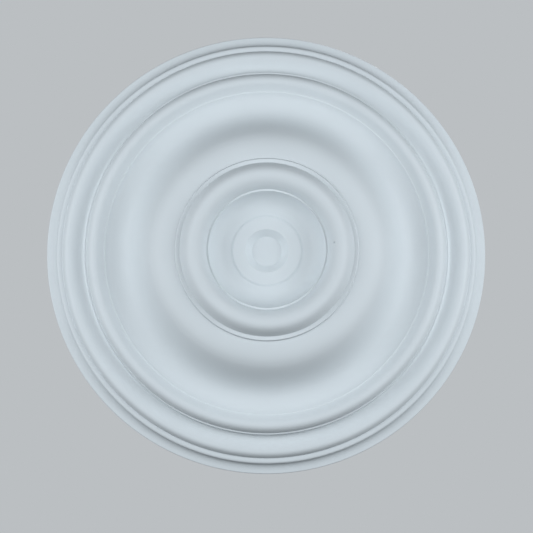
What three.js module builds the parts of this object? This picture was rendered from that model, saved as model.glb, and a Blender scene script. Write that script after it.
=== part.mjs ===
import * as THREE from 'three';

// Ceiling rose: one round plaster casting with a flat back and concentric mouldings on its face.
// Millimetres. +Z is up into the ceiling. The back lies at Z = 0 and the moulded face looks down.
// A width is measured along the back. A rise takes the face down from the back on the way in to the
// axis, and a fall takes it up again. A slope is an angle off the flat, in degrees.

// The whole rose
const diameter = 600;
const rimThickness = 3.2;
const rimRound = 1;

// Outer mouldings, from the rim inwards: cove, bead, nosing, band, stepped riser, crest, line, valley
const coveWidth = 13.6;
const coveRise = 6.4;
const coveStartSlope = 0;
const coveSlope = 76;
const beadWidth = 7.7;
const beadRise = 2;
const beadSlope = 70;
const nosingWidth = 8.8;
const nosingRise = 6.8;
const nosingSlope = 69;
const nosingEndSlope = -4;
const bandWidth = 18.6;
const bandFall = 4.6;
const bandEndSlope = 8;
const footWidth = 3.5;
const footRise = 1.2;
const footSlope = 34;
const stepWidth = 1;
const stepRise = 6.9;
const filletWidth = 2;
const crestOuterWidth = 9.4;
const crestRise = 9.1;
const crestOuterSlope = 78;
const crestInnerWidth = 14.3;
const crestFall = 10.4;
const crestInnerSlope = 32;
const fineLineWidth = 1.6;
const valleyWidth = 18.2;
const valleyFall = 6.2;
const valleySlope = 47;

// The broad sweep from the valley up to the collar: its outer part takes the width that is left over
const sweepRise = 31.6;
const sweepSlope = 43.5;
const shoulderWidth = 37;
const shoulderRise = 11.4;
const shoulderSlope = 3;

// Inner mouldings, from the axis outwards: recess, disc, dish, lip, torus and collar
const recessRadius = 20;
const recessWallWidth = 9.3;
const recessDepth = 9.6;
const discWidth = 15.8;
const discEdgeWidth = 4;
const discHeight = 2;
const dishFloorWidth = 7.1;
const dishWallWidth = 22.4;
const dishDepth = 22.1;
const dishSlope = 71;
const lipWidth = 2.4;
const torusInnerWidth = 19.4;
const torusFall = 17;
const torusInnerSlope = 67;
const torusOuterWidth = 16.4;
const torusRise = 14.8;
const torusOuterSlope = 58;
const collarWidth = 5;
const collarWallWidth = 1.4;
const collarWallRise = 2.9;

// Facets: flats round the rose, and the longest facet along a curved member
const flatsRound = 84;
const facetLength = 8.5;
const fewestFacets = 2;
const curveReach = 0.37;

// Widths of the two groups of mouldings, and what they leave for the sweep
const total = (widths) => widths.reduce((sum, width) => sum + width, 0);
const rimRadius = diameter / 2;
const outerWidth = total([
  coveWidth, beadWidth, nosingWidth, bandWidth, footWidth, stepWidth, filletWidth,
  crestOuterWidth, crestInnerWidth, fineLineWidth, valleyWidth,
]);
const innerWidth = total([
  recessRadius, recessWallWidth, discWidth, discEdgeWidth, dishFloorWidth, dishWallWidth,
  lipWidth, torusInnerWidth, torusOuterWidth, collarWidth, collarWallWidth,
]);
const sweepWidth = rimRadius - outerWidth - innerWidth - shoulderWidth;

// The face's outline as points of radius and depth, from the rim's edge to the axis
const outline = [new THREE.Vector2(rimRadius, rimThickness - rimRound)];

// A straight member: inwards from the last point by its width, and down by its rise
function straight(width, rise) {
  const from = outline.at(-1);
  outline.push(new THREE.Vector2(from.x - width, from.y + rise));
}

// The direction that runs inwards, going down at a slope
function heading(slope) {
  const angle = THREE.MathUtils.degToRad(slope);
  return new THREE.Vector2(-Math.cos(angle), Math.sin(angle));
}

// A curved member: as a straight one, with the slopes at which it leaves and arrives
function curved(width, rise, leaves, arrives) {
  const from = outline.at(-1);
  const to = new THREE.Vector2(from.x - width, from.y + rise);
  const reach = curveReach * from.distanceTo(to);
  const first = heading(leaves).multiplyScalar(reach).add(from);
  const second = heading(arrives).multiplyScalar(-reach).add(to);
  const curve = new THREE.CubicBezierCurve(from, first, second, to);
  const facets = Math.max(fewestFacets, Math.ceil(curve.getLength() / facetLength));
  outline.push(...curve.getPoints(facets).slice(1));
}

// Rounded edge, cove and bead
function rim() {
  curved(rimRound, rimRound, 90, 0);
  curved(coveWidth - rimRound, coveRise, coveStartSlope, coveSlope);
  curved(beadWidth, beadRise, beadSlope, 0);
}

// Nosing and band, then the riser in two steps up to the crest
function outerMouldings() {
  curved(nosingWidth, nosingRise, nosingSlope, nosingEndSlope);
  curved(bandWidth, -bandFall, nosingEndSlope, bandEndSlope);
  curved(footWidth, footRise, bandEndSlope, footSlope);
  straight(stepWidth, stepRise);
  straight(filletWidth, 0);
  curved(crestOuterWidth, crestRise, crestOuterSlope, 0);
  curved(crestInnerWidth, -crestFall, 0, -crestInnerSlope);
  straight(fineLineWidth, 0);
}

// The valley, and the sweep that climbs out of it to the collar over a rounded shoulder
function sweep() {
  curved(valleyWidth, -valleyFall, -valleySlope, 0);
  curved(sweepWidth, sweepRise, 0, sweepSlope);
  curved(shoulderWidth, shoulderRise, sweepSlope, shoulderSlope);
}

// Collar with its low wall, torus, lip and dish
function innerMouldings() {
  straight(collarWallWidth, collarWallRise);
  straight(collarWidth, 0);
  curved(torusOuterWidth, torusRise, torusOuterSlope, 0);
  curved(torusInnerWidth, -torusFall, 0, -torusInnerSlope);
  straight(lipWidth, 0);
  curved(dishWallWidth, -dishDepth, -dishSlope, 0);
  straight(dishFloorWidth, 0);
}

// The raised disc, and the recess whose flat floor ends on the axis
function centre() {
  curved(discEdgeWidth, discHeight, 0, 0);
  straight(discWidth, 0);
  straight(recessWallWidth, -recessDepth);
  outline.push(new THREE.Vector2(0, outline.at(-1).y));
}

// The casting: the section from the back round the face, turned once about the axis
function casting() {
  const back = [new THREE.Vector2(0, 0), new THREE.Vector2(rimRadius, 0)];
  const shape = new THREE.LatheGeometry([...back, ...outline], flatsRound);
  shape.rotateX(-Math.PI / 2);
  return shape;
}

rim();
outerMouldings();
sweep();
innerMouldings();
centre();

const plaster = new THREE.MeshStandardMaterial({ color: 0xdde5e8, roughness: 0.6, metalness: 0 });
const rose = new THREE.Mesh(casting(), plaster);
rose.name = 'ceiling_rose';

const group = new THREE.Group();
group.add(rose);

export default group;
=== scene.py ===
"""A round plaster ceiling rose, seen from below as it hangs under a ceiling.

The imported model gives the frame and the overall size. One piece replaces its plain solid: the same
section, with its arrises worn round, turned about the axis and finished as cast plaster.
Sizes are in millimetres until a mesh or a pattern is made. Z points up into the ceiling.
"""

import math

import bpy
import numpy as np
from mathutils import Matrix, Vector


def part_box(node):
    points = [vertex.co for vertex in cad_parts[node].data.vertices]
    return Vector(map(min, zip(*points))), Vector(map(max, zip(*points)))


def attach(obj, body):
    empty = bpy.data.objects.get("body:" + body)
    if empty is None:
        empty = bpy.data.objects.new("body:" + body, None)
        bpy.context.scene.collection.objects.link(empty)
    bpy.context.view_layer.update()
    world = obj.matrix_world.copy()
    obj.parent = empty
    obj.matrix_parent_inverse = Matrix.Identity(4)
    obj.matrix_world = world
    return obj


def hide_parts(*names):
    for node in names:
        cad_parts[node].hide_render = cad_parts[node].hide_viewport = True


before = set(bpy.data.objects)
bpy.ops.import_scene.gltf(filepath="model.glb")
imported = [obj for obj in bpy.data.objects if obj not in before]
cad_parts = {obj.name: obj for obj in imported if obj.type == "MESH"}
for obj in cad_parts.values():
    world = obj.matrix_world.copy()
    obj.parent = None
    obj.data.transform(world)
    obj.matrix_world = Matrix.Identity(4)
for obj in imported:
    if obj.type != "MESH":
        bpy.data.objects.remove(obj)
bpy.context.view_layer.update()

MM = 0.001

# The whole rose, from the frame
NODE = "ceiling_rose"
low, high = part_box(NODE)
RIM_RADIUS = (high.x - low.x) / 2 / MM

# Sections of the members, as the part has them: width, then rise or fall, then slopes in degrees
RIM_THICKNESS = 3.2
RIM_ROUND = 1
COVE_WIDTH, COVE_RISE, COVE_START_SLOPE, COVE_SLOPE = 13.6, 6.4, 0, 76
BEAD_WIDTH, BEAD_RISE, BEAD_SLOPE = 7.7, 2, 70
NOSING_WIDTH, NOSING_RISE, NOSING_SLOPE, NOSING_END_SLOPE = 8.8, 6.8, 69, -4
BAND_WIDTH, BAND_FALL, BAND_END_SLOPE = 18.6, 4.6, 8
FOOT_WIDTH, FOOT_RISE, FOOT_SLOPE = 3.5, 1.2, 34
STEP_WIDTH, STEP_RISE, FILLET_WIDTH = 1, 6.9, 2
CREST_OUTER_WIDTH, CREST_RISE, CREST_OUTER_SLOPE = 9.4, 9.1, 78
CREST_INNER_WIDTH, CREST_FALL, CREST_INNER_SLOPE = 14.3, 10.4, 32
FINE_LINE_WIDTH = 1.6
VALLEY_WIDTH, VALLEY_FALL, VALLEY_SLOPE = 18.2, 6.2, 47
SWEEP_RISE, SWEEP_SLOPE = 31.6, 43.5
SHOULDER_WIDTH, SHOULDER_RISE, SHOULDER_SLOPE = 37, 11.4, 3
RECESS_RADIUS, RECESS_WALL_WIDTH, RECESS_DEPTH = 20, 9.3, 9.6
DISC_WIDTH, DISC_EDGE_WIDTH, DISC_HEIGHT = 15.8, 4, 2
DISH_FLOOR_WIDTH, DISH_WALL_WIDTH, DISH_DEPTH, DISH_SLOPE = 7.1, 22.4, 22.1, 71
LIP_WIDTH = 2.4
TORUS_INNER_WIDTH, TORUS_FALL, TORUS_INNER_SLOPE = 19.4, 17, 67
TORUS_OUTER_WIDTH, TORUS_RISE, TORUS_OUTER_SLOPE = 16.4, 14.8, 58
COLLAR_WIDTH = 5
COLLAR_WALL_WIDTH, COLLAR_WALL_RISE = 1.4, 2.9
CURVE_REACH = 0.37

OUTER_WIDTHS = (
    COVE_WIDTH, BEAD_WIDTH, NOSING_WIDTH, BAND_WIDTH, FOOT_WIDTH, STEP_WIDTH, FILLET_WIDTH,
    CREST_OUTER_WIDTH, CREST_INNER_WIDTH, FINE_LINE_WIDTH, VALLEY_WIDTH,
)
INNER_WIDTHS = (
    RECESS_RADIUS, RECESS_WALL_WIDTH, DISC_WIDTH, DISC_EDGE_WIDTH, DISH_FLOOR_WIDTH, DISH_WALL_WIDTH,
    LIP_WIDTH, TORUS_INNER_WIDTH, TORUS_OUTER_WIDTH, COLLAR_WIDTH, COLLAR_WALL_WIDTH,
)
SWEEP_WIDTH = RIM_RADIUS - sum(OUTER_WIDTHS) - sum(INNER_WIDTHS) - SHOULDER_WIDTH

# The section's points lie this far apart, and wear rounds its arrises by a bell curve cut at its reach
SECTION_STEP = 0.05
WEAR = 0.12
BELL_REACH = 4

# The grid: rings on the face and the back, columns round it, the length of section that one full turn
# of its direction counts for, the sharpest turn counted, and how near the rim the back's rings end
FACE_RINGS = 324
BACK_RINGS = 32
COLUMNS = 280
BEND_WEIGHT = 130
SHARPEST_TURN = 1
BACK_EDGE = 6
FINE_BEARINGS = 4001

# How uneven the face and the back are, the lengths of their waves, and where the waves die out
SEED = 7
UNEVENNESS = 0.06
RUN_WAVES = 6.1, 9.7, 17.3, 31
SAG_WAVES = 140, 210
SAG_LEAN = 0.3
BACK_UNEVENNESS = 0.9
STRUCK_WAVES = 23, 41, 95
CROSS_WAVES = 60, 150
STRUCK_ALONG, STRUCK_ACROSS = 0.8, 0.6
EDGE_FADE = 25
AXIS_FADE = 10
RIM_FADE = 1

# A pinhole left by trapped air on the torus's inner side: where it is, how wide and how deep, and how
# much closer than elsewhere the grid is drawn over a patch round it
PINHOLE_RADIUS = 89.3
PINHOLE_BEARING = math.radians(174.9)
PINHOLE_WIDTH = 2
PINHOLE_DEPTH = 2.2
PATCH_SIZE = 2.5
PATCH_CLOSENESS = 6

# The camera stands below the rose, a little towards the bottom and the left of the picture
CAMERA_PLACE = (0.0301, -0.2203, -2.2884)
CAMERA_AIM = (0, -0.018, 0)
LENS = 113.3
SENSOR = 36

# Two soft lamps below the rose, left and right of it, and slanting soft light from above that reaches
# the back and the floor, and never the face
# Places and sizes of lamps, camera and floor are in metres
LAMP_OFFSET = 1.08
LAMP_SHIFT = 0.04
LAMP_DEPTH = 0.95
LAMP_SIZE = 1
LAMP_LENGTH = 1.1
LAMP_POWER = 15.4
RIGHT_LAMP_SHARE = 1.05
SKY_STRENGTH = 3.3
SKY_SPREAD = 12
SKY_PLACE = (-0.6, 1.5, 2)
FLOOR_LEVEL = -2.75
FLOOR_RADIUS = 60
FLOOR_SIDES = 64
FLOOR_ROUGHNESS = 0.9
LAMP_COLOUR = "#F5FAFF"
SURROUND_COLOUR = "#BBBFC2"
FLOOR_COLOUR = "#CDD0D2"

# The cast face: its two tints, the size of its mottling, of the lines that the turning bench left and
# of its grain, and how far the lines and the grain stand proud
CAST_TINTS = "#DFE6E9", "#D9E0E3"
CAST_MOTTLE = 70
BENCH_LINE = 1.6
BENCH_LINE_HEIGHT = 0.03
GRAIN = 0.9
GRAIN_HEIGHT = 0.02
CAST_ROUGHNESS = 0.62

# The struck-off back: its tints, mottling, drag streaks and pores, with painted shade darkening the
# pores. A pore's depth and its painted shade come on between two shares of the pores' spacing
STRUCK_TINTS = "#E2E5E6", "#BFC4C6"
# Painted shade: the darker tint laid inside the pores, where shade would fall
PORE_PAINTED_SHADE = "#A9ABAA"
STRUCK_MOTTLE = 90
STREAK_BEARING = math.radians(37)
STREAK_STRETCH = 0.06
STREAK_WIDTH = 7
STREAK_HEIGHT = 1.6
PORE_SPACING = 9
PORE_EDGE = 0.06, 0.12
PORE_DEPTH = 0.6
STRUCK_ROUGHNESS = 0.85
GYPSUM_IOR = 1.52


def straight(path, width, rise):
    """A straight member: from the path's last point, inwards by width and down by rise."""
    steps = math.ceil(math.hypot(width, rise) / SECTION_STEP)
    t = np.linspace(0, 1, steps + 1)[1:, None]
    path.append(path[-1][-1] + t * np.array((-width, rise)))


def curved(path, width, rise, leaves, arrives):
    """A curved member: the cubic Bezier curve from the last point to the one a straight member would
    reach, whose two inner points lie a set share of the chord away, along the slopes at its ends."""
    start = path[-1][-1]
    end = start + np.array((-width, rise))
    reach = CURVE_REACH * math.hypot(width, rise)
    leave, arrive = math.radians(leaves), math.radians(arrives)
    first = start + reach * np.array((-math.cos(leave), math.sin(leave)))
    second = end - reach * np.array((-math.cos(arrive), math.sin(arrive)))
    steps = math.ceil(math.hypot(width, rise) / SECTION_STEP)
    t = np.linspace(0, 1, steps + 1)[1:, None]
    u = 1 - t
    path.append(u**3 * start + 3 * u * u * t * first + 3 * u * t * t * second + t**3 * end)


def face_section():
    """The face's section, as points of radius and depth, from the rim's edge in to the axis."""
    path = [np.array([(RIM_RADIUS, RIM_THICKNESS - RIM_ROUND)], float)]
    curved(path, RIM_ROUND, RIM_ROUND, 90, 0)
    curved(path, COVE_WIDTH - RIM_ROUND, COVE_RISE, COVE_START_SLOPE, COVE_SLOPE)
    curved(path, BEAD_WIDTH, BEAD_RISE, BEAD_SLOPE, 0)
    curved(path, NOSING_WIDTH, NOSING_RISE, NOSING_SLOPE, NOSING_END_SLOPE)
    curved(path, BAND_WIDTH, -BAND_FALL, NOSING_END_SLOPE, BAND_END_SLOPE)
    curved(path, FOOT_WIDTH, FOOT_RISE, BAND_END_SLOPE, FOOT_SLOPE)
    straight(path, STEP_WIDTH, STEP_RISE)
    straight(path, FILLET_WIDTH, 0)
    curved(path, CREST_OUTER_WIDTH, CREST_RISE, CREST_OUTER_SLOPE, 0)
    curved(path, CREST_INNER_WIDTH, -CREST_FALL, 0, -CREST_INNER_SLOPE)
    straight(path, FINE_LINE_WIDTH, 0)
    curved(path, VALLEY_WIDTH, -VALLEY_FALL, -VALLEY_SLOPE, 0)
    curved(path, SWEEP_WIDTH, SWEEP_RISE, 0, SWEEP_SLOPE)
    curved(path, SHOULDER_WIDTH, SHOULDER_RISE, SWEEP_SLOPE, SHOULDER_SLOPE)
    straight(path, COLLAR_WALL_WIDTH, COLLAR_WALL_RISE)
    straight(path, COLLAR_WIDTH, 0)
    curved(path, TORUS_OUTER_WIDTH, TORUS_RISE, TORUS_OUTER_SLOPE, 0)
    curved(path, TORUS_INNER_WIDTH, -TORUS_FALL, 0, -TORUS_INNER_SLOPE)
    straight(path, LIP_WIDTH, 0)
    curved(path, DISH_WALL_WIDTH, -DISH_DEPTH, -DISH_SLOPE, 0)
    straight(path, DISH_FLOOR_WIDTH, 0)
    curved(path, DISC_EDGE_WIDTH, DISC_HEIGHT, 0, 0)
    straight(path, DISC_WIDTH, 0)
    straight(path, RECESS_WALL_WIDTH, -RECESS_DEPTH)
    straight(path, RECESS_RADIUS, 0)
    return np.concatenate(path)


def even_steps(points, step):
    """The same line with its points an equal step apart, by distance along it."""
    along = np.concatenate(([0], np.cumsum(np.hypot(*np.diff(points, axis=0).T))))
    at = np.linspace(0, along[-1], round(along[-1] / step) + 1)
    return np.stack([np.interp(at, along, points[:, k]) for k in (0, 1)], axis=1)


def bell(distance, width):
    """A bell curve: e to the power of minus half the square of distance over width."""
    return np.exp(-0.5 * (distance / width) ** 2)


def worn(points, step, wear):
    """The line after wear: each point becomes the mean of its neighbours, weighted by a bell curve as
    wide as the wear. The line is carried on past both ends, so the ends stay in place."""
    reach = math.ceil(BELL_REACH * wear / step)
    weight = bell(np.arange(-reach, reach + 1) * step, wear)
    weight /= weight.sum()
    before = 2 * points[0] - points[reach:0:-1]
    after = 2 * points[-1] - points[-2 : -reach - 2 : -1]
    padded = np.concatenate((before, points, after))
    return np.stack([np.convolve(padded[:, k], weight, "valid") for k in (0, 1)], axis=1)


def closer(distance):
    """How many more grid lines lie at a distance from the pinhole: a bell curve."""
    return 1 + PATCH_CLOSENESS * bell(distance, PATCH_SIZE)


def shares(weight, values, count):
    """The values at the ends of equal shares of the running sum of a weight."""
    total = np.concatenate(([0], np.cumsum(weight)))
    at = np.linspace(0, total[-1], count)
    return np.stack([np.interp(at, total, column) for column in values.T], axis=1)


def rings(points, count):
    """Picks where the rings lie: the running sum of length plus bend, cut into equal shares, so that
    rings crowd where the section turns, and at the pinhole."""
    steps = np.diff(points, axis=0)
    turn = np.abs(np.diff(np.unwrap(np.arctan2(steps[:, 1], steps[:, 0]))))
    weight = np.hypot(*steps.T)
    weight[1:] += BEND_WEIGHT / (2 * math.pi) * np.minimum(turn, SHARPEST_TURN)
    return shares(weight * closer(points[1:, 0] - PINHOLE_RADIUS), points, count)


def bearings():
    """The bearings of the columns, all round from +X, closer together at the pinhole."""
    fine = np.linspace(0, 2 * math.pi, FINE_BEARINGS)
    weight = closer((fine[1:] - PINHOLE_BEARING) * PINHOLE_RADIUS)
    return shares(weight, fine[:, None], COLUMNS + 1)[:-1, 0]


def pinhole(radius, depth, turn):
    """How far each point sinks into the pinhole, as radius and depth: into the cast at right angles to
    the section, by a flat-bottomed hole, e to the power of minus the fourth power of the distance over
    half its width. The row that it lies on is the nearest in radius that is deeper than the sweep's rise,
    which leaves out the back."""
    row = int(np.argmin(np.abs(radius - PINHOLE_RADIUS) + (depth < SWEEP_RISE) * RIM_RADIUS))
    along = np.array((radius[row + 1, 0] - radius[row - 1, 0], depth[row + 1, 0] - depth[row - 1, 0]))
    along /= np.hypot(*along)
    away = (radius - radius[row]) ** 2 + (depth - depth[row]) ** 2
    away = away + ((turn - PINHOLE_BEARING) * PINHOLE_RADIUS) ** 2
    sink = PINHOLE_DEPTH * np.exp(-((away / (PINHOLE_WIDTH / 2) ** 2) ** 2))
    return sink * -along[1], sink * along[0]


def waves(at, lengths, draw):
    """Uneven waves along one line: a sum of sines of the given lengths with seeded phases, in -1 to 1."""
    phases = draw.uniform(0, 2 * math.pi, len(lengths))
    return sum(np.sin(2 * math.pi * at / n + p) for n, p in zip(lengths, phases)) / len(lengths)


def rose_grid(draw):
    """The rose as rows of rings and columns round it. A ring's radius and depth come from the section.
    The face's depth varies by waves along the radius and by long ones across it, and the struck-off
    back sinks by low crossing waves. All of them die out at the axis and at the rim."""
    back = np.stack((np.linspace(0, RIM_RADIUS, BACK_RINGS), np.zeros(BACK_RINGS)), axis=1)
    whole = even_steps(np.concatenate((back, face_section())), SECTION_STEP)
    whole = worn(whole, SECTION_STEP, WEAR)
    edge = int(np.argmax(whole[:, 0] > RIM_RADIUS - BACK_EDGE))
    whole[0, 0] = whole[-1, 0] = 0
    back, face = rings(whole[: edge + 1], BACK_RINGS), rings(whole[edge:], FACE_RINGS)
    section = np.concatenate((back[:-1], face))
    radius, depth = section[:, :1], section[:, 1:]
    turn = bearings()
    x, y = radius * np.cos(turn), radius * np.sin(turn)
    is_back = (np.arange(len(section)) < len(back) - 1)[:, None]
    run = waves(radius, RUN_WAVES, draw) + waves(x + SAG_LEAN * y, SAG_WAVES, draw)
    struck = waves(STRUCK_ALONG * x + STRUCK_ACROSS * y, STRUCK_WAVES, draw)
    struck = struck * waves(STRUCK_ACROSS * x - STRUCK_ALONG * y, CROSS_WAVES, draw)
    from_axis = np.clip(radius / AXIS_FADE, 0, 1)
    from_edge = np.clip((RIM_RADIUS - radius) / EDGE_FADE, 0, 1)
    face_wave = UNEVENNESS * run * np.clip(depth - RIM_FADE, 0, 1) * from_axis
    back_wave = BACK_UNEVENNESS * (1 + struck) / 2 * (from_edge * from_axis)
    out, down = pinhole(radius, depth, turn)
    x, y = x + out * np.cos(turn), y + out * np.sin(turn)
    z = -(depth + down + np.where(is_back, back_wave, face_wave))
    return np.stack((x, y, z), axis=2) * MM, len(back) - 1


def turned(name, grid, back_rows, materials):
    """A closed mesh from a grid of rings: quads between neighbouring rings, and a fan at each pole,
    where the first and the last ring meet in one point. The first rows take the second material."""
    rows, columns = grid.shape[:2]
    inner = grid[1:-1].reshape(-1, 3)
    points = np.concatenate((inner, grid[:1, 0], grid[-1:, 0]))
    first_pole, last_pole = len(inner), len(inner) + 1
    row, column = np.meshgrid(np.arange(rows - 3), np.arange(columns), indexing="ij")
    after = (column + 1) % columns
    quads = np.stack((
        row * columns + column, (row + 1) * columns + column,
        (row + 1) * columns + after, row * columns + after,
    ), axis=-1).reshape(-1, 4)
    ring = np.arange(columns)
    beside = (ring + 1) % columns
    last = (rows - 3) * columns
    first_fan = np.stack((np.full(columns, first_pole), ring, beside), axis=1)
    last_fan = np.stack((np.full(columns, last_pole), last + beside, last + ring), axis=1)
    mesh = bpy.data.meshes.new(name)
    faces = quads.tolist() + first_fan.tolist() + last_fan.tolist()
    mesh.from_pydata(points.tolist(), [], faces)
    back = np.zeros(len(faces), np.int32)
    back[: (back_rows - 1) * columns] = 1
    back[len(quads) : len(quads) + columns] = 1
    for material in materials:
        mesh.materials.append(material)
    mesh.polygons.foreach_set("material_index", back)
    mesh.polygons.foreach_set("use_smooth", np.ones(len(faces), bool))
    mesh.update()
    piece = bpy.data.objects.new(name, mesh)
    bpy.context.scene.collection.objects.link(piece)
    return piece


def linear(hex_colour):
    """An sRGB hex colour as linear red, green, blue and alpha."""
    parts = [int(hex_colour[k : k + 2], 16) / 255 for k in (1, 3, 5)]
    return [c / 12.92 if c <= 0.04045 else ((c + 0.055) / 1.055) ** 2.4 for c in parts] + [1]


def add(tree, kind, inputs=None, **settings):
    """Adds a node with its settings. An input is given by name or number, as a value or a link."""
    made = tree.nodes.new(kind)
    for key, value in settings.items():
        setattr(made, key, value)
    for key, value in (inputs or {}).items():
        if isinstance(value, bpy.types.NodeSocket):
            tree.links.new(value, made.inputs[key])
        else:
            made.inputs[key].default_value = value
    return made


def new_material(name):
    """A material with an empty node tree, its shader and its Object coordinates."""
    material = bpy.data.materials.new(name)
    material.use_nodes = True
    tree = material.node_tree
    tree.nodes.clear()
    shader = add(tree, "ShaderNodeBsdfPrincipled")
    add(tree, "ShaderNodeOutputMaterial", {"Surface": shader.outputs[0]})
    place = add(tree, "ShaderNodeTexCoord").outputs["Object"]
    return material, tree, shader, place


def ramp(tree, factor, start, end):
    """A mix from one sRGB hex colour to another by a factor."""
    mix = add(tree, "ShaderNodeMix", {0: factor, 6: linear(start), 7: linear(end)}, data_type="RGBA")
    return mix.outputs[2]


def cast_gypsum_plaster():
    """Gypsum plaster cast in a smooth mould: a dense cool white with a soft matt skin, a grain too fine
    to feel, faint rings where the master was run on a turning bench, and hardly any mottling."""
    material, tree, shader, place = new_material("cast_gypsum_plaster")
    flat = add(tree, "ShaderNodeVectorMath", {0: place, 1: (1, 1, 0)}, operation="MULTIPLY").outputs[0]
    radius = add(tree, "ShaderNodeVectorMath", {0: flat}, operation="LENGTH").outputs["Value"]
    cloud = add(
        tree, "ShaderNodeTexNoise", {"Vector": place, "Scale": 1 / (CAST_MOTTLE * MM), "Detail": 4}
    )
    colour = ramp(tree, cloud.outputs[0], *CAST_TINTS)
    tree.links.new(colour, shader.inputs["Base Color"])
    lines = add(
        tree, "ShaderNodeTexNoise", {"W": radius, "Scale": 1 / (BENCH_LINE * MM), "Detail": 2},
        noise_dimensions="1D",
    )
    grain = add(tree, "ShaderNodeTexNoise", {"Vector": place, "Scale": 1 / (GRAIN * MM), "Detail": 3})
    run = add(
        tree, "ShaderNodeBump", {"Height": lines.outputs[0], "Distance": BENCH_LINE_HEIGHT * MM}
    )
    skin = add(
        tree, "ShaderNodeBump",
        {"Height": grain.outputs[0], "Distance": GRAIN_HEIGHT * MM, "Normal": run.outputs[0]},
    )
    tree.links.new(skin.outputs[0], shader.inputs["Normal"])
    shader.inputs["Roughness"].default_value = CAST_ROUGHNESS
    shader.inputs["IOR"].default_value = GYPSUM_IOR
    return material


def struck_gypsum_plaster():
    """The same plaster struck off level with the mould's edge: duller and a shade greyer, dragged in
    long streaks by the straightedge, with the open pores of trapped air, darkened inside by painted
    shade."""
    material, tree, shader, place = new_material("struck_gypsum_plaster")
    cloud = add(
        tree, "ShaderNodeTexNoise", {"Vector": place, "Scale": 1 / (STRUCK_MOTTLE * MM), "Detail": 5}
    )
    colour = ramp(tree, cloud.outputs[0], *STRUCK_TINTS)
    along = add(
        tree, "ShaderNodeMapping",
        {"Vector": place, "Rotation": (0, 0, STREAK_BEARING), "Scale": (1, STREAK_STRETCH, 1)},
    ).outputs[0]
    drag = add(
        tree, "ShaderNodeTexNoise", {"Vector": along, "Scale": 1 / (STREAK_WIDTH * MM), "Detail": 5}
    )
    pores = add(tree, "ShaderNodeTexVoronoi", {"Vector": place, "Scale": 1 / (PORE_SPACING * MM)})
    inner, outer = PORE_EDGE
    pit_and_shade = add(
        tree, "ShaderNodeMapRange",
        {"Value": pores.outputs["Distance"], "From Min": inner, "From Max": outer},
    ).outputs[0]
    # Painted shade: each pore is darkened towards the pore tint where it sinks, the same mask also giving
    # its bump
    pore_shade = add(tree, "ShaderNodeMix", {0: pit_and_shade, 6: linear(PORE_PAINTED_SHADE), 7: colour}, data_type="RGBA")
    tree.links.new(pore_shade.outputs[2], shader.inputs["Base Color"])
    streaks = add(
        tree, "ShaderNodeBump", {"Height": drag.outputs[0], "Distance": STREAK_HEIGHT * MM}
    )
    pitted = add(
        tree, "ShaderNodeBump",
        {"Height": pit_and_shade, "Distance": PORE_DEPTH * MM, "Normal": streaks.outputs[0]},
    )
    tree.links.new(pitted.outputs[0], shader.inputs["Normal"])
    shader.inputs["Roughness"].default_value = STRUCK_ROUGHNESS
    shader.inputs["IOR"].default_value = GYPSUM_IOR
    return material


def make_rose():
    """The cast rose in one piece, standing for the CAD solid."""
    grid, back_rows = rose_grid(np.random.default_rng(SEED))
    rose = turned("rose", grid, back_rows, (cast_gypsum_plaster(), struck_gypsum_plaster()))
    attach(rose, "root")
    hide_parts(NODE)


def aimed(thing, place, aim):
    """Puts a camera or lamp at a place and turns it to look at its aim."""
    thing.location = place
    thing.rotation_mode = "QUATERNION"
    thing.rotation_quaternion = (Vector(aim) - Vector(place)).to_track_quat("-Z", "Y")
    bpy.context.scene.collection.objects.link(thing)
    return thing


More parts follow.
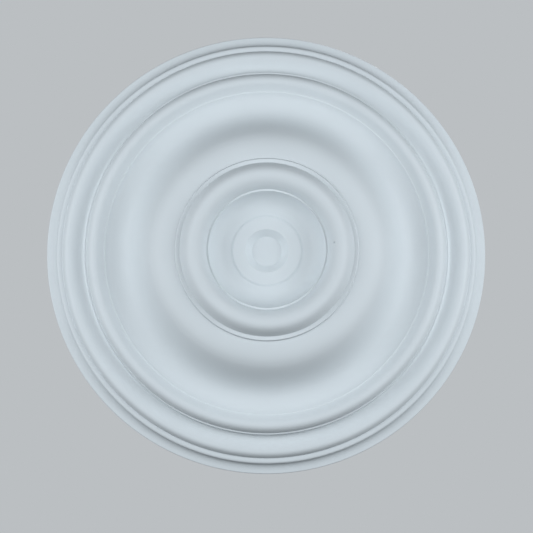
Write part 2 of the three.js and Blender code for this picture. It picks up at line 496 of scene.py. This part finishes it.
def make_camera():
    """The camera, looking up at the rose with the picture's top towards +Y."""
    data = bpy.data.cameras.new("camera")
    data.lens = LENS
    data.sensor_width = SENSOR
    camera = aimed(bpy.data.objects.new("camera", data), CAMERA_PLACE, CAMERA_AIM)
    look = (Vector(CAMERA_AIM) - Vector(CAMERA_PLACE)).normalized()
    right = look.cross(Vector((0, 1, 0))).normalized()
    top = right.cross(look)
    camera.rotation_quaternion = Matrix((right, top, -look)).transposed().to_quaternion()
    bpy.context.scene.camera = camera


def make_lamps():
    """Two oblong soft lamps that light the face from both sides, and wide light from above."""
    for side, share in ((1, 1), (-1, RIGHT_LAMP_SHARE)):
        data = bpy.data.lights.new("softbox", "AREA")
        data.shape = "RECTANGLE"
        data.size, data.size_y = LAMP_LENGTH, LAMP_SIZE
        data.energy = LAMP_POWER * share
        data.color = linear(LAMP_COLOUR)[:3]
        lamp = bpy.data.objects.new("softbox", data)
        aimed(lamp, (side * LAMP_OFFSET, LAMP_SHIFT, -LAMP_DEPTH), (0, 0, 0))
        lamp.visible_camera = False
    data = bpy.data.lights.new("sky", "SUN")
    data.energy = SKY_STRENGTH
    data.angle = math.radians(SKY_SPREAD)
    aimed(bpy.data.objects.new("sky", data), SKY_PLACE, (0, 0, 0))


def make_stage():
    """A plain pale floor below the camera, and a plain pale surround that the camera alone sees."""
    turn = np.arange(FLOOR_SIDES) * 2 * math.pi / FLOOR_SIDES
    ring = np.stack((np.cos(turn), np.sin(turn), np.zeros(FLOOR_SIDES)), axis=1) * FLOOR_RADIUS
    ring[:, 2] = FLOOR_LEVEL
    mesh = bpy.data.meshes.new("floor")
    mesh.from_pydata(ring.tolist(), [], [list(range(FLOOR_SIDES))])
    material, _, shader, _ = new_material("pale_floor")
    shader.inputs["Base Color"].default_value = linear(FLOOR_COLOUR)
    shader.inputs["Roughness"].default_value = FLOOR_ROUGHNESS
    mesh.materials.append(material)
    floor = bpy.data.objects.new("floor", mesh)
    bpy.context.scene.collection.objects.link(floor)
    floor.visible_diffuse = False
    floor.visible_glossy = False
    world = bpy.data.worlds.new("surround")
    bpy.context.scene.world = world
    world.use_nodes = True
    world.node_tree.nodes["Background"].inputs[0].default_value = linear(SURROUND_COLOUR)
    world.cycles_visibility.diffuse = False
    world.cycles_visibility.glossy = False
    bpy.context.scene.view_settings.view_transform = "Standard"


make_rose()
make_camera()
make_lamps()
make_stage()
